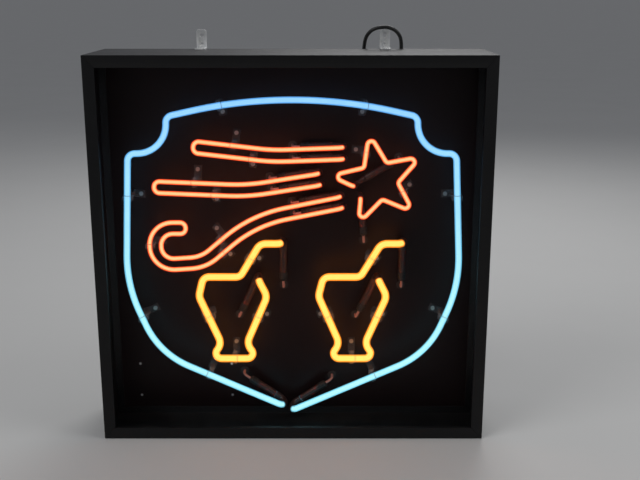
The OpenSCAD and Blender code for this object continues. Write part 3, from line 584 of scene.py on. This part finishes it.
cord = makeCord(cordPlan)
boot = makeBoot(bootPlan, cordPlan)
tie = makeTie(tiePlan, cordPlan)
plug = makePlug(plugPlan)
nodes["plug_pins"].data.materials.clear()
nodes["plug_pins"].data.materials.append(brass)
print("cord made")


# neon tubes: bends repeat the tube maker's pattern, in mm as (x, z, bend radius)
neon = {"tubeDepth": 48, "endDepth": 74, "backBend": 11, "stub": 18, "paintFrom": 4, "paint": 0.25,
        "gasShare": {"neon_blue": 0.68, "neon_yellow": 0.68, "neon_orange": 0.48}, "hazeShare": 0.78,
        "straight": 0.01, "chord": 0.03}
crestHalf = [(-215, 125, 130), (-262, 240, 220), (-250, 450, 12), (-190, 450, 46), (-190, 506, 12)]
crestOther = [(-x, z, r) for x, z, r in reversed(crestHalf)]
crestLine = [(-16, 34, 0)] + crestHalf + [(0, 548, 700)] + crestOther + [(-4, 26, 0)]
starPlan = {"at": (132, 408), "points": 74, "notches": 30, "from": 210, "bend": 6, "gap": 0.2}
streakWidth, streakEnd = 18, 8.5
streakLines = {
    "upper": [(80, 450, 0), (-30, 446, 300), (-150, 460, 0)],
    "middle": [(44, 410, 0), (-70, 392, 300), (-212, 398, 0)],
    "lower": [(78, 374, 0), (-60, 346, 200), (-140, 278, 60), (-214, 273, 28), (-214, 333, 28),
              (-166, 333, 0)]}
sodaLine = [(79, 308, 0), (44, 308, 16), (12, 254, 12), (-46, 254, 12), (-54, 222, 20),
            (-20, 142, 20), (-38, 117, 9), (38, 117, 9), (20, 142, 20), (54, 222, 20), (40, 250, 0)]


def rounded(a, p, b, radius):
    into, out = (p - a).normalized(), (b - p).normalized()
    turn = into.angle(out)
    if turn < neon["straight"] or not radius:
        return [p]
    side = (out - into * into.dot(out)).normalized()
    cut = radius * math.tan(turn / 2)
    steps = max(3, math.ceil(turn / (2 * math.acos(1 - neon["chord"] / radius))))
    angles = [turn * k / steps for k in range(steps + 1)]
    return [p - into * (cut - radius * math.sin(angle)) + side * radius * (1 - math.cos(angle))
            for angle in angles]


def bent(corners):
    line = [corners[0][0]]
    for before, (p, radius), after in zip(corners, corners[1:], corners[2:]):
        line += rounded(before[0], p, after[0], radius)
    return line + [corners[-1][0]]


def beside(line, offset):
    # the same run of bends, offset to its left
    flat, out = [Vector(c[:2]) for c in line], []
    for k, p in enumerate(flat):
        into = (p - flat[k - 1]).normalized() if k else (flat[1] - p).normalized()
        away = (flat[k + 1] - p).normalized() if k < len(flat) - 1 else into
        left, right = Vector((-into.y, into.x)), Vector((-away.y, away.x))
        spot = p + (left + right) / (1 + left.dot(right)) * offset
        inner = 0 < k < len(flat) - 1
        turn = -offset if into.cross(away) > 0 else offset
        out.append((spot.x, spot.y, line[k][2] + turn if inner else streakEnd))
    return out


def streakOutline(line):
    return beside(line, -streakWidth / 2) + beside(line, streakWidth / 2)[::-1]


def starOutline(s):
    # from one notch round five points, open at that notch
    corners = []
    for k in range(11):
        angle, r = math.radians(s["from"] + 36 * k), s["points"] if k % 2 else s["notches"]
        x, z = s["at"]
        corners.append((x + r * math.cos(angle), z + r * math.sin(angle), s["bend"]))
    first, last = (tuple(u + s["gap"] * (v - u) for u, v in zip(corners[a], corners[b]))
                   for a, b in ((0, 1), (10, 9)))
    return [first] + corners[1:-1] + [last]


def atDepth(p, depth):
    return Vector((p[0], frontY / mm + depth, p[1]))


def heading(degrees):
    return Vector((math.cos(math.radians(degrees)), 0, math.sin(math.radians(degrees))))


def tubeEnd(p, way):
    front, back = atDepth(p, neon["tubeDepth"]), atDepth(p, neon["endDepth"])
    return [(front, neon["backBend"]), (back, neon["backBend"]), (back + heading(way) * neon["stub"], 0)]


def makeNeon(node, lit, ways, diameter, gas, glass, paint, slot):
    front = [(atDepth(c, neon["tubeDepth"]), c[2]) for c in lit[1:-1]]
    corners = tubeEnd(lit[0], ways[0])[::-1] + front + tubeEnd(lit[-1], ways[1])
    line = [p * mm for p in bent(corners)]
    limit = frontY + (neon["tubeDepth"] + neon["paintFrom"]) * mm
    shown = [k for k, p in enumerate(line) if p.y < limit]
    first, last = shown[0], shown[-1]
    radius = diameter / 2 * mm
    keep(tubeMesh(line, radius, node, 8), node + "_glass", glass, node, smooth=60)
    column = line[first - 1:last + 2]
    gasR, hazeR = radius * neon["gasShare"][slot], radius * neon["hazeShare"]
    keep(tubeMesh(column, gasR, node + "_gas", 6), node + "_gas", gas, smooth=60)
    if slot in hazes:
        haze = tubeMesh(column, hazeR, node + "_haze", 6)
        keep(haze, node + "_haze", hazes[slot], smooth=60)
    for side, part in (("first", line[:first + 1]), ("last", line[last:])):
        painted = tubeMesh(part, radius + neon["paint"] * mm, node + side, 8)
        keep(painted, f"{node}_paint_{side}", paint, smooth=60)


blueGas = gasGlow("blueGas", (0.2, 0.33, 0.33), (0.13, 0.24, 0.36), 3.0, (0.2, 0.56))
blueGlass = tubeGlass("blueGlass", (0.20, 0.66, 0.85), (0.10, 0.36, 0.85), 1.6, (0.2, 0.56))
orangeGas = gasGlow("orangeGas", (1.0, 0.52, 0.28), (1.0, 0.5, 0.26), 3.2, (0.26, 0.48))
orangeGlass = tubeGlass("orangeGlass", (1.0, 0.045, 0.009), (1.0, 0.04, 0.009), 1.4, (0.26, 0.48))
orangeHaze = gasHaze("orangeHaze", (1.0, 0.27, 0.065), (1.0, 0.26, 0.06), 2.1, (0.26, 0.48))
hazes = {"neon_orange": orangeHaze}
yellowGas = gasGlow("yellowGas", (1.0, 0.355, 0.082), (1.0, 0.345, 0.078), 3.3, (0.1, 0.32))
yellowGlass = tubeGlass("yellowGlass", (1.0, 0.29, 0.014), (1.0, 0.27, 0.014), 2.0, (0.1, 0.32))
bluePaint = blackout("bluePaint", (0.02, 0.12, 0.2))
# red glow: the orange tubes' own light through thin paint on their ends, and painted light from the
# orange tubes on the electrodes
redGlowPaint = blackout("redGlowPaint", (1.0, 0.03, 0.005))
amberPaint = blackout("amberPaint", (0.9, 0.12, 0.01))
# diameter, gas, glass, paint and slot of each colour
colours = {"blue": (10, blueGas, blueGlass, bluePaint, "neon_blue"),
           "orange": (8, orangeGas, orangeGlass, redGlowPaint, "neon_orange"),
           "yellow": (12, yellowGas, yellowGlass, amberPaint, "neon_yellow")}
# outline, the ways its two electrode ends point, and colour, in the order of the wiring
tubes = {"crest_tube": (crestLine, (146, 34), "blue"),
         "soda_right_tube": ([(x + 94, z, r) for x, z, r in sodaLine], (-90, -115), "yellow"),
         "star_tube": (starOutline(starPlan), (-85, 30), "orange"),
         "streak_upper_tube": (streakOutline(streakLines["upper"]), (182, 182), "orange"),
         "streak_middle_tube": (streakOutline(streakLines["middle"]), (189, 189), "orange"),
         "streak_lower_tube": (streakOutline(streakLines["lower"]), (191.5, 191.5), "orange"),
         "soda_left_tube": ([(x - 95, z, r) for x, z, r in sodaLine], (-90, -115), "yellow")}
for node, (lit, ways, colour) in tubes.items():
    makeNeon(node, lit, ways, *colours[colour])
ends = [(lit[k], ways[k]) for lit, ways, _ in tubes.values() for k in (0, -1)]
print("neon tubes made")


# electrode ends: painted glass, ribbed silicone boots and leads into the panel; mm
electrode = {"r": 5.5, "long": 36, "steps": 24, "bootR": 6.5, "bootLong": 14, "ribs": 3,
             "ribsFrom": 3, "ribStep": 2.6, "cut": 0.7, "leadR": 2, "leadRun": 12, "leadBend": 7,
             "leadPast": 4}


def shellProfile(e):
    r, long = e["r"], e["long"]
    return [(0, 0), (r * 0.7, 0), (r * 0.95, 1.2), (r, 3), (r, long - 2), (r * 0.9, long), (0, long)]


def bootProfile(e):
    r, long = e["bootR"], e["bootLong"]
    profile = [(0, 0), (r * 0.92, 0), (r, 0.8)]
    for k in range(e["ribs"]):
        z = e["ribsFrom"] + k * e["ribStep"]
        profile += [(r, z), (r - e["cut"], z + 0.5), (r - e["cut"], z + 1.3), (r, z + 1.8)]
    return profile + [(r * 0.8, long - 1.6), (r * 0.45, long), (0, long)]


def makeElectrodes(e):
    shells, boots, leads = [], [], []
    for p, way in ends:
        start, toward = atDepth(p, neon["endDepth"]), heading(way)
        for profile, run, pile in ((shellProfile(e), neon["stub"], shells),
                                   (bootProfile(e), neon["stub"] + e["long"], boots)):
            part = lathe([(r * mm, h * mm) for r, h in profile], e["steps"])
            place = Matrix.Translation((start + toward * run) * mm) @ turnedTo(toward)
            bmesh.ops.transform(part, verts=part.verts, matrix=place)
            pile.append(part)
        tip = start + toward * (neon["stub"] + e["long"] + e["bootLong"])
        turn = tip + toward * e["leadRun"]
        end = Vector((turn.x, panelBackY / mm + e["leadPast"], turn.z))
        lead = bmesh.new()
        path = bent([(tip, 0), (turn, e["leadBend"]), (end, 0)])
        lead.from_mesh(tubeMesh([q * mm for q in path], e["leadR"] * mm, "lead", 4))
        leads.append(lead)
    # the electrodes of all tubes take the red paint; its faint red glow here is painted light from the
    # orange tubes
    keep(joined(shells, "electrodes"), "electrodeGlass", redGlowPaint, "electrodes")
    keep(joined(boots, "boots"), "electrodeBoots", rubber, "electrode_boots", smooth=50)
    keep(joined(leads, "leads"), "electrodeLeads", leadPink, "electrode_leads", smooth=60)


makeElectrodes(electrode)


# binding wires that hold the glass beside each support: x, z, way of the tube, tube radius
bindings = {"wire": 0.42, "beside": 4.9, "clear": 0.4, "twist": 4.5, "from": 78, "sweep": 336,
            "steps": 20, "spread": 0.7, "close": 0.3}
supports = [(-110, 522.4, 9, 5), (110, 522.4, -9, 5), (-254, 380, 86.7, 5),
            (254, 380, 93.3, 5), (-239, 183.5, 112.2, 5), (239, 183.5, 67.8, 5),
            (-135.4, 88.6, 155.4, 5), (127.4, 85.4, 24.3, 5), (112.3, 447.9, 82.5, 4),
            (171.3, 387.3, 118.5, 4), (-89, 461.9, 173.3, 4), (-61, 440.6, 173.3, 4),
            (-150, 404.4, 177.6, 4), (-120, 385.1, 177.6, 4), (-113.1, 312.7, 40.4, 4),
            (-110.6, 291.2, 40.4, 4), (-223, 303, 90, 4), (-133, 184.2, 113, 6),
            (-57, 184.2, 67, 6), (-95, 117, 0, 6), (-67.3, 280.5, 59.3, 6),
            (56, 184.2, 113, 6), (132, 184.2, 67, 6), (94, 117, 0, 6),
            (121.7, 280.5, 59.3, 6)]


def makeBindings(b):
    loops = []
    for x, z, way, r in supports:
        along, ring = heading(way), r + b["clear"]
        across, back = along.cross(Vector((0, 1, 0))), Vector((0, 1, 0))
        centre = atDepth((x, z), neon["tubeDepth"]) + along * b["beside"]
        tail, neck = back * (ring + b["twist"]), back * (ring + 1)
        path = [centre + across * b["spread"] + tail, centre + across * b["close"] + neck]
        for k in range(b["steps"] + 1):
            angle = math.radians(b["from"] - b["sweep"] * k / b["steps"])
            path.append(centre + (across * math.cos(angle) + back * math.sin(angle)) * ring)
        path += [centre - across * b["close"] + neck, centre - across * b["spread"] + tail]
        loop = bmesh.new()
        loop.from_mesh(tubeMesh([q * mm for q in path], b["wire"] * mm, "binding", 2))
        loops.append(loop)
    keep(joined(loops, "bindings"), "bindingWires", tieWire, smooth=60)


makeBindings(bindings)
print("electrode ends and binding wires made")


# box and fittings: the CAD shapes with broken edges
# broken edge in mm, material and bevel segments of each
broken = {"frame_top": (0.5, coat, 2), "frame_bottom": (0.5, coat, 2),
          "frame_left": (0.5, coat, 2), "frame_right": (0.5, coat, 2),
          "front_cover": (0.3, pane, 1), "rear_cover": (0.3, coverCoat, 1),
          "hanger_left": (0.25, zinc, 2), "hanger_right": (0.25, zinc, 2),
          "transformer": (1.0, casePaint, 2), "terminal_block": (0.6, nylon, 2),
          "corner_angles": (0.4, zinc, 1), "switch_body": (0.4, moulded, 2),
          "switch_rocker": (0.3, moulded, 2), "cable_gland": (0.3, moulded, 2),
          "glazing_strips": (0.6, stripBlack, 2), "tube_supports": (0.35, moulding, 1)}
for node, (width, material, segments) in broken.items():
    softened(node, width, material, segments, body="rocker" if node == "switch_rocker" else "sign")
for node, material in {"tube_panel": panelBlack, "corner_screws": zinc, "panel_screws": darkZinc,
                       "support_screws": screwZinc, "transformer_screws": zinc, "hanger_screws": zinc,
                       "rear_screws": darkZinc, "hv_terminals": ceramic, "lead_bushings": rubber,
                       "hv_leads": leadRed, "series_leads": leadRed, "mains_leads": brownWire,
                       "earth_stud": zinc, "earth_lead": earthWire, "gland_nut": moulded}.items():
    nodes[node].data.materials.clear()
    nodes[node].data.materials.append(material)
print("box and fittings finished")


# studio: one pale floor and soft lamps
studio = {"floor": 600.0, "drop": 0.0005, "floorTone": (0.72, 0.715, 0.7),
          "world": 0.2, "worldTone": (0.9, 0.93, 1.0, 1)}
# place, aim, size in metres and power in watts of each lamp
lamps = {"keyLamp": ((-1.5, -1.3, 2.3), (0, 0, 0.35), 1.6, 16),
         "fillLamp": ((1.9, -0.6, 1.7), (0, 0, 0.3), 1.4, 9),
         "backLamp": ((0.4, 1.8, 2.0), (0, 0, 0.4), 1.4, 17)}


def makeStudio(s):
    bm = bmesh.new()
    bmesh.ops.create_grid(bm, x_segments=4, y_segments=4, size=s["floor"] / 2)
    floor = bpy.data.objects.new("floor", meshOf(bm, "floor"))
    bpy.context.collection.objects.link(floor)
    floor.location.z = -s["drop"]
    f = Finish("paleFloor")
    cloud = f.noise(3, 6, 0.6)
    shade = f.blend(cloud, s["floorTone"], tuple(c * 0.94 for c in s["floorTone"]))
    floor.data.materials.append(f.done(f.surface(base=shade, rough=0.6 + cloud * 0.1)))
    world = bpy.data.worlds.new("world")
    world.use_nodes = True
    sky = world.node_tree.nodes["Background"].inputs
    sky["Color"].default_value, sky["Strength"].default_value = s["worldTone"], s["world"]
    bpy.context.scene.world = world
    for name, (place, aim, size, power) in lamps.items():
        data = bpy.data.lights.new(name, "AREA")
        data.shape, data.size, data.energy = "DISK", size, power
        lamp = bpy.data.objects.new(name, data)
        lamp.location = place
        lamp.rotation_euler = (Vector(aim) - Vector(place)).to_track_quat("-Z", "Y").to_euler()
        bpy.context.collection.objects.link(lamp)
    bpy.context.scene.view_settings.view_transform = "Standard"


makeStudio(studio)
print("studio made")
